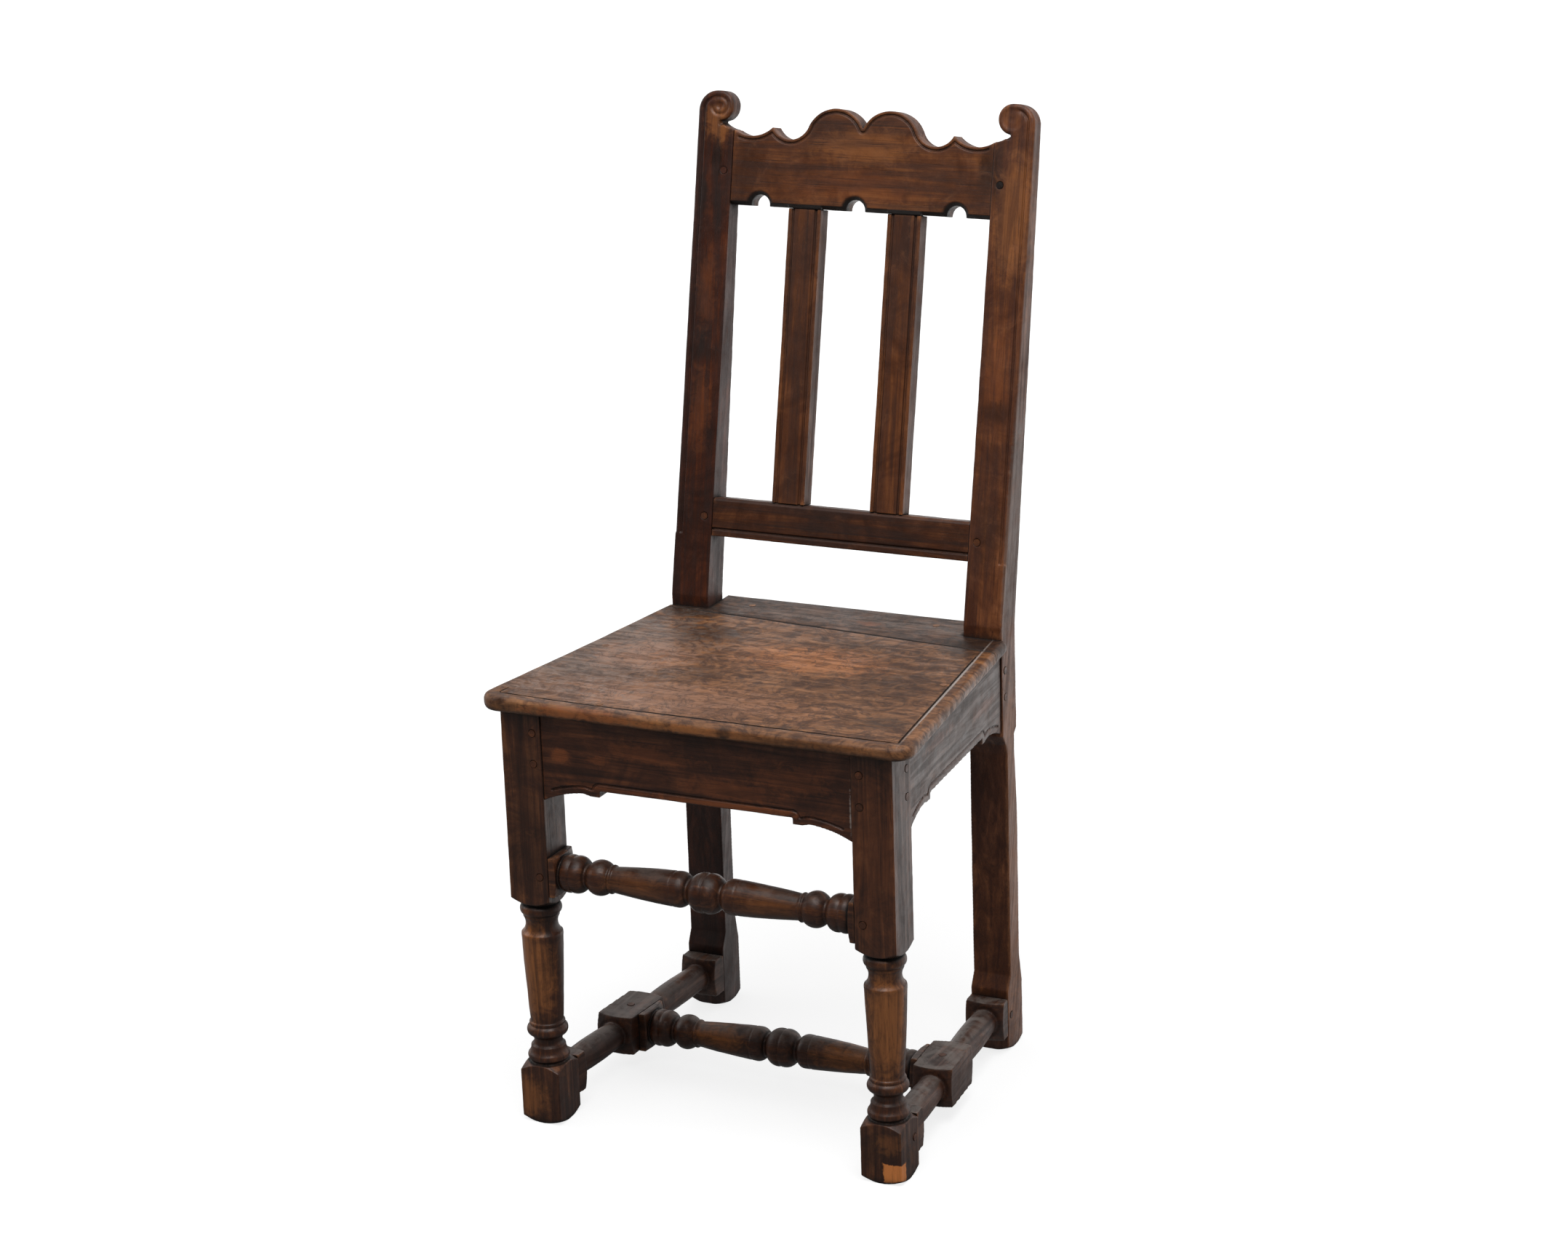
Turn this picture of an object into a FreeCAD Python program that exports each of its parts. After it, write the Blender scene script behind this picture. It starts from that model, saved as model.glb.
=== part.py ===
import FreeCAD, Part
import math
import os

# High-back joined side chair: turned front legs, raked back with scrolled ears,
# shaped crest rail, two flat muntins, boarded seat and an H of stretchers.
# Millimetres, +Z up, the sitter faces -Y, origin under the middle of the whole chair.

V = FreeCAD.Vector

# Overall stance
front_width = 445.0
back_width = 397.0
post_front = 350.0
seat_rail_top = 467.0
overrun = 5.0

# Turning stock and joints
leg_stock = 46.0
stretcher_stock = 44.0
joint_clearance = 0.15
peg_radius = 3.8
peg_proud = 0.3
peg_length = 24.0
front_peg_shares = (0.28, 0.72)
side_peg_shares = (0.33, 0.72)
stretcher_peg_share = 0.8
tenon_thickness = 8.0
tenon_length = 19.0
tenon_shoulder = 8.0
round_tenon_radius = 9.0
corner_relief = 10.0
foot_shoulder_share = 0.99
leg_shoulder_share = 0.985
stretcher_shoulder_share = 0.97
block_shoulder_share = 0.9

# Front legs
leg_block_length = 216.0
foot_block_top = 66.0
foot_wear = 9.0

# Share along the turned column from its top, share of half the stock, swell share of half the stock
column_shares = [
    (0.000, 0.760, 0.000),
    (0.014, 0.780, 0.000),
    (0.084, 0.800, 0.195),
    (0.092, 0.860, 0.000),
    (0.190, 0.900, -0.130),
    (0.195, 0.968, 0.000),
    (0.227, 0.968, 0.012),
    (0.746, 0.765, 0.020),
    (0.750, 0.840, 0.000),
    (0.764, 0.840, 0.000),
    (0.768, 0.780, 0.000),
    (0.836, 0.780, 0.190),
    (0.842, 0.735, 0.000),
    (0.892, 0.735, -0.070),
    (0.898, 0.820, 0.000),
    (0.950, 0.965, -0.055),
    (0.978, 0.960, 0.018),
    (1.000, 0.820, -0.040),
]

# Rear posts
post_width = 44.5
post_seat_depth = 39.0
bend_above_seat = 13.0
post_rake = 12.1
post_rake_length = 558.0
post_top_depth = 19.5
post_block_drop = 95.0
post_step = 12.0
post_shaft_depth = 26.5
post_foot_depth = 42.0
post_foot_top = 72.0
post_foot_front_step = 4.0
post_foot_slope = 16.0
post_back_notch = 6.0
post_back_slope = 74.0
post_round_share = 0.3

# Scrolled ears
ear_radius = 16.5
ear_centre_inset = 26.0
ear_top_flat = 4.0
ear_neck_rise = 8.5
ear_neck_sag = 1.5
ear_eye_radius = 4.4
bead_inset = 5.5
bead_round = 3.5
post_groove_width = 3.0
groove_width = 2.4
groove_depth = 2.0

# Crest rail, measured down the raked back from the top of the posts
crest_lobe_drop = 14.0
crest_rise = 35.5
crest_waist = 74.0
crest_thickness = 22.0
crest_arch_radius = 11.0
crest_arch_lift = 1.5
crest_edge_bevel = 4.5
crest_line_inset = 3.0

# Upper edge of the crest: share of the half width between the posts, share of the rise over the valleys
crest_notch_shares = (0.0, 0.423)
crest_lobe_shares = (0.195, 1.0)
crest_lobe_end_shares = (0.422, 0.366)
crest_valley_shares = (0.558, 0.0)
crest_cusp_shares = (0.695, 0.352)
crest_dip_shares = (0.844, 0.056)

# Lower back rail and muntins
lower_rail_bottom = 68.5
lower_rail_height = 43.0
lower_rail_thickness = 22.0
lower_rail_chamfer = 3.0
lower_rail_line = 7.0
muntin_width = 39.0
muntin_spacing = 118.0
muntin_shift = -4.5
muntin_thickness = 19.5
muntin_groove_inset = 6.0
muntin_groove_width = 3.2
face_setback = 1.0

# Seat rails
rail_height = 77.0
side_rail_height = 74.0
back_rail_height = 69.0
rail_thickness = 22.0
rail_setback = 2.0
tooth_drop = 7.0
tooth_width = 10.0
bracket_length = 66.0
bracket_rise = 2.0
bracket_lead = 9.0
bracket_drop = 18.0
bracket_sag_share = 0.3
moulding_rise = 6.5
back_tenon_shift = 1.6

# Seat boards
seat_thickness = 15.0
seat_front_overhang = 10.0
seat_side_overhang = 23.5
seat_post_overhang = 5.5
seat_back_overhang = 13.0
seat_corner_radius = 24.0
seat_nose_share = 0.4
seat_groove_inset = 16.0
seam_left_inset = 56.0
seam_right_inset = 94.0
seam_gap = 0.8

# Stretchers
front_stretcher_rise = 34.0
low_stretcher_height = 41.0
cross_stretcher_place = 191.0
middle_block_length = 76.0
end_block_length = 20.0
side_round_radius = 14.5
side_round_swell = 1.6
side_relief = 7.0
block_rise_share = 0.45

# Share of half the length from the middle, share of half the stock, swell share of half the stock
stretcher_shares = [
    (0.006, 0.920, 0.000),
    (0.009, 0.970, 0.000),
    (0.100, 0.620, 0.135),
    (0.106, 0.590, 0.000),
    (0.118, 0.590, 0.000),
    (0.124, 0.690, 0.000),
    (0.172, 0.875, 0.050),
    (0.206, 0.866, 0.000),
    (0.210, 0.838, 0.000),
    (0.216, 0.838, 0.000),
    (0.220, 0.862, 0.000),
    (0.612, 0.635, 0.025),
    (0.618, 0.720, 0.000),
    (0.628, 0.720, 0.000),
    (0.636, 0.620, 0.000),
    (0.778, 0.590, 0.280),
    (0.793, 0.570, 0.000),
    (0.800, 0.710, 0.000),
    (0.872, 0.915, 0.095),
    (0.876, 0.880, 0.000),
    (0.882, 0.880, 0.000),
    (0.886, 0.915, 0.000),
    (0.946, 0.800, 0.075),
    (0.952, 0.700, 0.000),
]


def box(x0, x1, y0, y1, z0, z1):
    return Part.makeBox(x1 - x0, y1 - y0, z1 - z0, V(x0, y0, z0))


def prism(points, direction):
    """A straight solid over a closed polygon of points."""
    return Part.Face(Part.makePolygon(points + points[:1])).extrude(direction)


def arc(start, through, end):
    return Part.Arc(start, through, end).toShape()


def line(start, end):
    return Part.LineSegment(start, end).toShape()


def mirrored(shape):
    return shape.mirror(V(0, 0, 0), V(1, 0, 0))


def turned(stations, stock):
    """Revolve (along, radius, swell) stations about Z and trim them to the square stock."""
    first = stations[0][0]
    last = stations[-1][0]
    edges = [line(V(0, 0, first), V(stations[0][1], 0, first))]
    for (a0, r0, unused), (a1, r1, swell) in zip(stations, stations[1:]):
        start = V(r0, 0, a0)
        end = V(r1, 0, a1)
        if swell == 0:
            edges.append(line(start, end))
        else:
            edges.append(arc(start, V((r0 + r1) / 2 + swell, 0, (a0 + a1) / 2), end))
    edges.append(line(V(stations[-1][1], 0, last), V(0, 0, last)))
    edges.append(line(V(0, 0, last), V(0, 0, first)))
    round_solid = Part.Face(Part.Wire(edges)).revolve(V(0, 0, 0), V(0, 0, 1), 360)
    half = stock / 2
    return round_solid.common(box(-half, half, -half, half, first, last))


def laid_along_x(shape):
    return shape.rotated(V(0, 0, 0), V(0, 1, 0), 90)


def laid_along_y(shape):
    return shape.rotated(V(0, 0, 0), V(1, 0, 0), -90)


def corner_radius(stock):
    """A radius that clears the corners of square stock."""
    return stock / 2 * math.sqrt(2) + overrun


def plan_slat(front_x, rear_x, width, y0, y1, z0, z1):
    """A bar whose middle runs in plan from front_x at the legs to rear_x at the posts."""
    def middle(y):
        share = (y - leg_stock) / (post_front - leg_stock)
        return front_x + (rear_x - front_x) * share
    half = width / 2
    points = [
        V(middle(y0) - half, y0, z0),
        V(middle(y0) + half, y0, z0),
        V(middle(y1) + half, y1, z0),
        V(middle(y1) - half, y1, z0),
    ]
    return prism(points, V(0, 0, z1 - z0))


# Places that follow from the driving sizes
leg_x = front_width / 2 - leg_stock / 2
leg_y = leg_stock / 2
leg_inner = front_width / 2 - leg_stock
post_outer = back_width / 2
post_inner = post_outer - post_width
post_x = post_outer - post_width / 2
post_foot_front = post_front + post_foot_front_step
side_rail_front_x = front_width / 2 - rail_setback - rail_thickness / 2
side_rail_rear_x = post_outer - rail_setback - rail_thickness / 2
shaft_front = post_front + post_step
seat_top = seat_rail_top + seat_thickness
seat_back_edge = post_front + post_seat_depth + seat_back_overhang
seam_left = seat_back_edge - seam_left_inset
seam_right = seat_back_edge - seam_right_inset
rail_bottom = seat_rail_top - rail_height
side_rail_bottom = seat_rail_top - side_rail_height
back_rail_bottom = seat_rail_top - back_rail_height
leg_block_bottom = seat_rail_top - leg_block_length
front_stretcher_height = leg_block_bottom + front_stretcher_rise
post_bend = seat_top + bend_above_seat
post_block_bottom = seat_rail_top - post_block_drop
ear_corner = ear_centre_inset - ear_top_flat
ear_neck_drop = ear_radius * 2 + ear_neck_rise
crest_valley = post_rake_length - crest_lobe_drop - crest_rise
crest_bottom = crest_valley - crest_waist
rake_sin = math.sin(math.radians(post_rake))
rake_cos = math.cos(math.radians(post_rake))
tenon_bottom = rail_bottom + tenon_shoulder
tenon_top = seat_rail_top - tenon_shoulder
taper_slope = (leg_x - post_x) / (post_front - leg_stock)
cross_end = leg_x - taper_slope * (cross_stretcher_place - leg_stock)
back_top = post_front + post_rake_length * rake_sin + post_top_depth * rake_cos
whole_middle = (back_top - seat_front_overhang) / 2


def raked(shape):
    """Lean a shape of the upright back frame about the bend line."""
    return shape.rotated(V(0, post_front, post_bend), V(1, 0, 0), -post_rake)


def up(x, along, depth=0):
    """A point of the upright back frame, before it is raked."""
    return V(x, post_front + depth, post_bend + along)


def front_leg():
    half = leg_stock / 2
    wide = corner_radius(leg_stock)
    span = leg_block_bottom - foot_block_top
    stations = [
        (0, half, 0),
        (foot_wear, wide, 0),
        (foot_block_top - corner_relief, wide, 0),
        (foot_block_top, half * foot_shoulder_share, 0),
    ]
    for along_share, radius_share, swell_share in reversed(column_shares):
        place = leg_block_bottom - span * along_share
        stations.append((place, half * radius_share, 0))
    swells = [share[2] for share in reversed(column_shares)]
    first = len(stations) - len(column_shares)
    for index in range(1, len(column_shares)):
        place, radius, unused = stations[first + index]
        stations[first + index] = (place, radius, half * swells[index - 1])
    stations.append((leg_block_bottom, half * leg_shoulder_share, 0))
    stations.append((leg_block_bottom + corner_relief, wide, 0))
    stations.append((seat_rail_top, wide, 0))
    return turned(stations, leg_stock).translated(V(leg_x, leg_y, 0))


def stretcher_stations(half_length, stock):
    """Half a turned stretcher, from its middle to the square block at its end."""
    half = stock / 2
    stations = []
    for along_share, radius_share, swell_share in stretcher_shares:
        stations.append((half_length * along_share, half * radius_share, half * swell_share))
    return stations


def turned_stretcher(half_length, stock):
    half = stock / 2
    side = stretcher_stations(half_length, stock)
    wide = corner_radius(stock)
    block_start = side[-1][0]
    block_rise = (half_length - block_start) * block_rise_share
    outer = side + [
        (block_start, half * stretcher_shoulder_share, 0),
        (block_start + block_rise, wide, 0),
        (half_length + overrun, wide, 0),
    ]
    left = []
    for index in range(len(outer) - 1, -1, -1):
        swell = outer[index + 1][2] if index + 1 < len(outer) else 0
        left.append((-outer[index][0], outer[index][1], swell))
    stations = left + [(outer[0][0], outer[0][1], outer[0][2])] + outer[1:]
    return laid_along_x(turned(stations, stock))


def side_stretcher():
    """The low stretcher between a front foot and a rear foot, before its tenons."""
    half = stretcher_stock / 2
    wide = corner_radius(stretcher_stock)
    radius = side_round_radius
    relief = side_relief
    shoulder = half * block_shoulder_share
    start = leg_stock
    end = post_foot_front
    block_a = cross_stretcher_place - middle_block_length / 2
    block_b = cross_stretcher_place + middle_block_length / 2
    stations = [
        (start - overrun, wide, 0),
        (start + end_block_length - relief, wide, 0),
        (start + end_block_length, shoulder, 0),
        (start + end_block_length, radius, 0),
        (block_a, radius, side_round_swell),
        (block_a, shoulder, 0),
        (block_a + relief, wide, 0),
        (block_b - relief, wide, 0),
        (block_b, shoulder, 0),
        (block_b, radius, 0),
        (end - end_block_length, radius, side_round_swell),
        (end - end_block_length, shoulder, 0),
        (end - end_block_length + relief, wide, 0),
        (end + overrun, wide, 0),
    ]
    bar = laid_along_y(turned(stations, stretcher_stock))
    return placed_low(bar).common(
        box(0, front_width, start, end, 0, seat_rail_top))


def placed_low(shape):
    """Turn a shape along Y to the plan taper of the right side, at the low stretcher's height."""
    angle = math.degrees(math.atan(taper_slope))
    shape = shape.rotated(V(0, leg_stock, 0), V(0, 0, 1), angle)
    return shape.translated(V(leg_x, 0, low_stretcher_height))


def low_tenon(radius, extra):
    start = leg_stock - tenon_length - extra
    end = post_foot_front + tenon_length + extra
    bar = Part.makeCylinder(radius, end - start, V(0, start, 0), V(0, 1, 0))
    return placed_low(bar)


def post_side_outline():
    """The lower post from the side, with its thinned shaft and full foot."""
    back = post_front + post_seat_depth
    foot_back = post_foot_front + post_foot_depth
    shaft_back = shaft_front + post_shaft_depth
    shaft_top = post_block_bottom - post_step
    shaft_bottom = post_foot_top + post_foot_slope
    return [
        V(0, post_foot_front, 0),
        V(0, post_foot_front, post_foot_top),
        V(0, shaft_front, shaft_bottom),
        V(0, shaft_front, shaft_top - post_step),
        V(0, shaft_front - post_step * post_round_share, shaft_top),
        V(0, post_front, post_block_bottom),
        V(0, post_front, post_bend),
        V(0, back, post_bend),
        V(0, back, post_block_bottom),
        V(0, shaft_back - post_back_notch, post_block_bottom - post_back_notch),
        V(0, shaft_back - post_back_notch, shaft_top - post_step),
        V(0, shaft_back, shaft_top - post_step - post_back_slope),
        V(0, shaft_back, post_foot_top + post_foot_slope * 2),
        V(0, foot_back, post_foot_top),
        V(0, foot_back, 0),
    ]


def rear_post():
    """The right rear post: bent, tapered above the seat and scrolled inwards at the top."""
    lower = prism(post_side_outline(), V(post_width, 0, 0)).translated(V(post_inner, 0, 0))
    wear = turned([
        (0, post_width / 2, 0),
        (foot_wear, corner_radius(post_width), 0),
        (post_bend, corner_radius(post_width), 0)], post_width + overrun * 2)
    wear = wear.translated(V(post_x, post_foot_front + post_foot_depth / 2, 0))
    feet = lower.common(box(0, front_width, 0, seat_back_edge, 0, foot_wear)).common(wear)
    rest = lower.common(box(0, front_width, 0, seat_back_edge, foot_wear, post_bend))
    top = post_rake_length
    ear_x = post_outer - ear_centre_inset
    ear_z = top - ear_radius
    neck = up(post_inner, top - ear_neck_drop)
    scroll = up(ear_x, top - ear_radius * 2)
    neck_mid = up((post_inner + ear_x) / 2 + ear_neck_sag / 2,
                  top - (ear_neck_drop + ear_radius * 2) / 2 - ear_neck_sag)
    slant = math.sqrt(0.5)
    corner = up(post_outer - ear_corner * (1 - slant), top - ear_corner * (1 - slant))
    edges = [
        line(up(post_inner, 0), neck),
        arc(neck, neck_mid, scroll),
        arc(scroll, up(ear_x - ear_radius, ear_z), up(ear_x, top)),
        line(up(ear_x, top), up(post_outer - ear_corner, top)),
        arc(up(post_outer - ear_corner, top), corner, up(post_outer, top - ear_corner)),
        line(up(post_outer, top - ear_corner), up(post_outer, 0)),
        line(up(post_outer, 0), up(post_inner, 0)),
    ]
    upper = Part.Face(Part.Wire(edges)).extrude(V(0, post_seat_depth, 0))
    taper = prism([
        up(0, 0),
        up(0, 0, post_seat_depth),
        up(0, top, post_top_depth),
        up(0, top)], V(front_width, 0, 0))
    upper = upper.common(taper)
    eye = Part.makeCylinder(ear_eye_radius, overrun + groove_depth, up(ear_x, ear_z, -overrun), V(0, 1, 0))
    upper = upper.cut(post_groove(ear_x, ear_z).fuse(eye))
    for waste in bead_waste(ear_x, post_bend + ear_z):
        upper = upper.cut(waste)
    upper = raked(upper)
    return feet.fuse([rest, upper, bend_wedge()]).removeSplitter()


def bead_profile(edge_x, z):
    """Plan of what is cut to round the arris at edge_x."""
    b = bead_round
    across = b * (1 - math.sqrt(0.5))
    start = V(edge_x - b, post_front, z)
    end = V(edge_x, post_front + b, z)
    corners = [
        end,
        V(edge_x + overrun, post_front + b, z),
        V(edge_x + overrun, post_front - overrun, z),
        V(edge_x - b, post_front - overrun, z),
        start,
    ]
    edges = [arc(start, V(edge_x - across, post_front + across, z), end)]
    edges += [line(a, b) for a, b in zip(corners, corners[1:])]
    return Part.Face(Part.Wire(edges))


def bead_waste(ear_x, ear_z):
    """Round the bead's arris up the post, over its corner and round the ear."""
    corner = V(post_outer - ear_corner, 0, post_bend + post_rake_length - ear_corner)
    ear = V(ear_x, 0, ear_z)
    turn = V(0, -1, 0)
    low = post_bend + lower_rail_bottom
    straight = bead_profile(post_outer, low).extrude(V(0, 0, corner.z - low))
    side = bead_profile(post_outer, corner.z)
    level = side.rotated(corner, turn, 90).extrude(V(ear_x - corner.x, 0, 0))
    round_ear = bead_profile(ear_x + ear_radius, ear_z).rotated(ear, turn, 90)
    return [straight, side.revolve(corner, turn, 90), level, round_ear.revolve(ear, turn, 180)]


def post_groove(ear_x, ear_z):
    """The groove inside the outer bead: up the post, over the ear and round towards its eye."""
    inset = bead_inset + post_groove_width
    front = post_front - overrun
    back = post_front + groove_depth
    outer = post_outer - bead_inset
    corner_x = post_outer - ear_corner
    corner_z = post_bend + post_rake_length - ear_corner
    low = post_bend + lower_rail_bottom
    top = post_bend + post_rake_length - bead_inset
    straight = box(outer - post_groove_width, outer, front, back, low, corner_z)
    corner = groove_ring(corner_x, corner_z, ear_corner - bead_inset, ear_corner - inset)
    corner = corner.common(box(corner_x, post_outer, front, back, corner_z, top + overrun))
    level = box(ear_x, corner_x, front, back, top - post_groove_width, top)
    centre_z = post_bend + ear_z
    scroll = groove_ring(ear_x, centre_z, ear_radius - bead_inset, ear_radius - inset)
    scroll = scroll.cut(box(ear_x, ear_x + ear_radius, front - overrun, back + overrun,
                            centre_z, centre_z + ear_radius))
    return straight.fuse([corner, level, scroll])


def groove_ring(x, z, outside, inside):
    start = V(x, post_front - overrun, z)
    depth = overrun + groove_depth
    ring = Part.makeCylinder(outside, depth, start, V(0, 1, 0))
    return ring.cut(Part.makeCylinder(inside, depth, start, V(0, 1, 0)))


def bend_wedge():
    """Fill the wedge that the rake opens behind the bend line."""
    reach = post_seat_depth
    points = [
        V(post_inner, post_front, post_bend),
        V(post_inner, post_front + reach, post_bend),
        V(post_inner, post_front + reach * rake_cos, post_bend - reach * rake_sin),
    ]
    return prism(points, V(post_width, 0, 0))


def lower_edge(half_span, bottom):
    """Outline of a seat rail in its own plane: straight middle, a tooth and a bracket each end."""
    tooth_start = half_span - bracket_length
    drop = bottom - tooth_drop
    bracket_top = drop + bracket_rise
    tooth_end = tooth_start + tooth_width
    bracket_start = tooth_end + bracket_lead
    bracket_mid = (bracket_start + half_span) / 2
    bracket_end = bottom - bracket_drop
    edges = []
    for side in (-1, 1):
        a = V(side * half_span, 0, seat_rail_top)
        b = V(side * half_span, 0, bracket_end)
        c = V(side * bracket_start, 0, bracket_top)
        mid = V(side * bracket_mid, 0, bracket_top - (bracket_top - bracket_end) * bracket_sag_share)
        d = V(side * tooth_end, 0, drop)
        e = V(side * tooth_start, 0, drop)
        f = V(side * tooth_start, 0, bottom)
        edges += [line(a, b), arc(b, mid, c), line(c, d), line(d, e), line(e, f)]
    edges.append(line(V(-tooth_start, 0, bottom), V(tooth_start, 0, bottom)))
    edges.append(line(V(-half_span, 0, seat_rail_top), V(half_span, 0, seat_rail_top)))
    return Part.Face(Part.Wire(Part.__sortEdges__(edges)))


def front_rail():
    face = lower_edge(leg_inner, rail_bottom)
    rail = face.extrude(V(0, rail_thickness, 0)).translated(V(0, rail_setback, 0))
    line = moulding_line(face, leg_inner).extrude(V(0, rail_setback + groove_depth, 0))
    return rail.cut(line).fuse(front_tenon(0)).removeSplitter()


def moulding_line(face, half_span):
    """A line that follows a seat rail's shaped lower edge, between its brackets' ends."""
    outside = face.makeOffset2D(-moulding_rise)
    inside = face.makeOffset2D(-moulding_rise - groove_width)
    reach = half_span - moulding_rise - groove_width
    top = (rail_bottom + seat_rail_top) / 2
    return outside.cut(inside).common(box(-reach, reach, -overrun, overrun, 0, top))


def front_tenon(extra):
    middle = rail_setback + rail_thickness / 2
    half = tenon_thickness / 2 + extra
    end = leg_inner + tenon_length + extra
    return box(-end, end, middle - half, middle + half, tenon_bottom - extra, tenon_top + extra)


def side_rail():
    middle = (leg_stock + post_front) / 2
    half_span = (post_front - leg_stock) / 2
    face = lower_edge(half_span, side_rail_bottom)
    line = moulding_line(face, half_span).rotated(V(0, 0, 0), V(0, 0, 1), 90).translated(V(0, middle, 0))
    face = face.rotated(V(0, 0, 0), V(0, 0, 1), 90).translated(V(0, middle, 0))
    profile = face.extrude(V(front_width, 0, 0))
    half = rail_thickness / 2
    core = plan_slat(side_rail_front_x - half, side_rail_rear_x - half,
                     (rail_thickness - groove_depth) * 2, leg_stock, post_front, 0, seat_rail_top)
    bar = plan_slat(side_rail_front_x, side_rail_rear_x, rail_thickness,
                    leg_stock, post_front, side_rail_bottom - bracket_drop, seat_rail_top)
    inner = box(0, side_rail_rear_x - rail_thickness, 0, post_front, 0, seat_rail_top)
    groove = line.extrude(V(front_width, 0, 0)).cut(core.fuse(inner))
    return bar.common(profile).cut(groove).fuse(side_tenon(0)).removeSplitter()


def side_tenon(extra):
    return plan_slat(side_rail_front_x, side_rail_rear_x, tenon_thickness + extra * 2,
                     leg_stock - tenon_length - extra, post_front + tenon_length + extra,
                     side_rail_bottom + tenon_shoulder - extra, tenon_top + extra)


def back_rail_middle():
    return post_front + tenon_length + (post_seat_depth - tenon_length) / 2 + back_tenon_shift


def back_tenon(extra):
    half = tenon_thickness / 2 + extra
    end = post_inner + tenon_length + extra
    middle = back_rail_middle()
    return box(-end, end, middle - half, middle + half,
               back_rail_bottom + tenon_shoulder - extra, tenon_top + extra)


def back_rail():
    back = post_front + post_seat_depth - rail_setback
    rail = box(-post_inner, post_inner, back - rail_thickness, back, back_rail_bottom, seat_rail_top)
    return rail.fuse(back_tenon(0)).removeSplitter()


def seam_at(x):
    share = (x + front_width / 2) / front_width
    return seam_left + (seam_right - seam_left) * share


def seat_outline():
    """The whole seat in plan, wider at the front, with rounded front corners."""
    front = -seat_front_overhang
    wide = front_width / 2 + seat_side_overhang
    narrow = post_outer + seat_post_overhang
    slope = (wide - narrow) / (post_front - front)
    back = wide - slope * (seat_back_edge - front)
    r = seat_corner_radius
    slant = math.sqrt(0.5)
    shift = r * (1 - slant)
    right_front = V(wide - r, front, 0)
    right_side = V(wide - slope * r, front + r, 0)
    edges = [
        line(V(-wide + r, front, 0), right_front),
        arc(right_front, V(wide - shift, front + shift, 0), right_side),
        line(right_side, V(back, seat_back_edge, 0)),
        line(V(back, seat_back_edge, 0), V(-back, seat_back_edge, 0)),
        line(V(-back, seat_back_edge, 0), V(-wide + slope * r, front + r, 0)),
        arc(V(-wide + slope * r, front + r, 0), V(-wide + shift, front + shift, 0), V(-wide + r, front, 0)),
    ]
    return Part.Face(Part.Wire(edges))


def whole_seat():
    outline = seat_outline()
    seat = outline.extrude(V(0, 0, seat_thickness)).translated(V(0, 0, seat_rail_top))
    nose = []
    for edge in seat.Edges:
        level = edge.BoundBox.ZMax - edge.BoundBox.ZMin
        if level < seat_thickness / 2 and edge.BoundBox.YMin < post_front:
            nose.append(edge)
    seat = seat.makeFillet(seat_thickness * seat_nose_share, nose)
    outer = outline.makeOffset2D(-seat_groove_inset)
    inner = outline.makeOffset2D(-seat_groove_inset - groove_width)
    ring = outer.cut(inner).extrude(V(0, 0, groove_depth + overrun))
    ring = ring.translated(V(0, 0, seat_top - groove_depth))
    ring = ring.common(box(-front_width, front_width, -front_width, seam_right - seat_groove_inset,
                           0, seat_top + overrun))
    worn = box(-front_width, 0, seat_corner_radius, post_front, 0, seat_top + overrun)
    seat = seat.cut(ring.cut(worn))
    gap = joint_clearance * 2
    for side in (-1, 1):
        near = side * (post_inner - gap)
        far = side * front_width
        seat = seat.cut(box(min(near, far), max(near, far), post_front - gap, seat_back_edge + overrun,
                            0, seat_top + overrun))
    return seat


def seat_board(front):
    """One board of the seat, cut from the whole along the slanting seam."""
    half = seam_gap / 2
    wide = front_width
    shift = -half if front else half
    far = -wide if front else seat_back_edge + wide
    points = [
        V(-wide, seam_at(-wide) + shift, 0),
        V(wide, seam_at(wide) + shift, 0),
        V(wide, far, 0),
        V(-wide, far, 0),
    ]
    return whole_seat().common(prism(points, V(0, 0, seat_top + overrun)))


def crest_point(shares):
    across_share, rise_share = shares
    return up(post_inner * across_share, crest_valley + crest_rise * rise_share)


def crest_half():
    """Upper edge of the crest rail's right half, as edges from the middle to the post."""
    notch = crest_point(crest_notch_shares)
    lobe_end = crest_point(crest_lobe_end_shares)
    cusp = crest_point(crest_cusp_shares)
    end = up(post_inner, post_rake_length - ear_neck_drop)
    return [
        arc(notch, crest_point(crest_lobe_shares), lobe_end),
        arc(lobe_end, crest_point(crest_valley_shares), cusp),
        arc(cusp, crest_point(crest_dip_shares), end),
    ]


def muntin_places():
    half = muntin_spacing / 2
    return [muntin_shift - half, muntin_shift + half]


def crest_rail():
    left, right = muntin_places()
    half = muntin_width / 2
    edges = crest_half()
    edges += [mirrored(edge) for edge in crest_half()]
    end_height = post_rake_length - ear_neck_drop
    for side in (-1, 1):
        edges.append(line(up(side * post_inner, end_height), up(side * post_inner, crest_bottom)))
    edges.append(line(up(-post_inner, crest_bottom), up(post_inner, crest_bottom)))
    outline = Part.Face(Part.Wire(Part.__sortEdges__(edges)))
    rail = outline.extrude(V(0, crest_thickness, 0)).cut(crest_line(outline))
    openings = [(-post_inner, left - half), (left + half, right - half), (right + half, post_inner)]
    for start, end in openings:
        rail = rail.cut(crest_edge(start, end))
    for place in muntin_places():
        rail = rail.cut(muntin_tenon(place, joint_clearance).translated(V(0, -face_setback, 0)))
    rail = rail.fuse(crest_tenon(0)).removeSplitter()
    return rail.translated(V(0, face_setback, 0))


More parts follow.
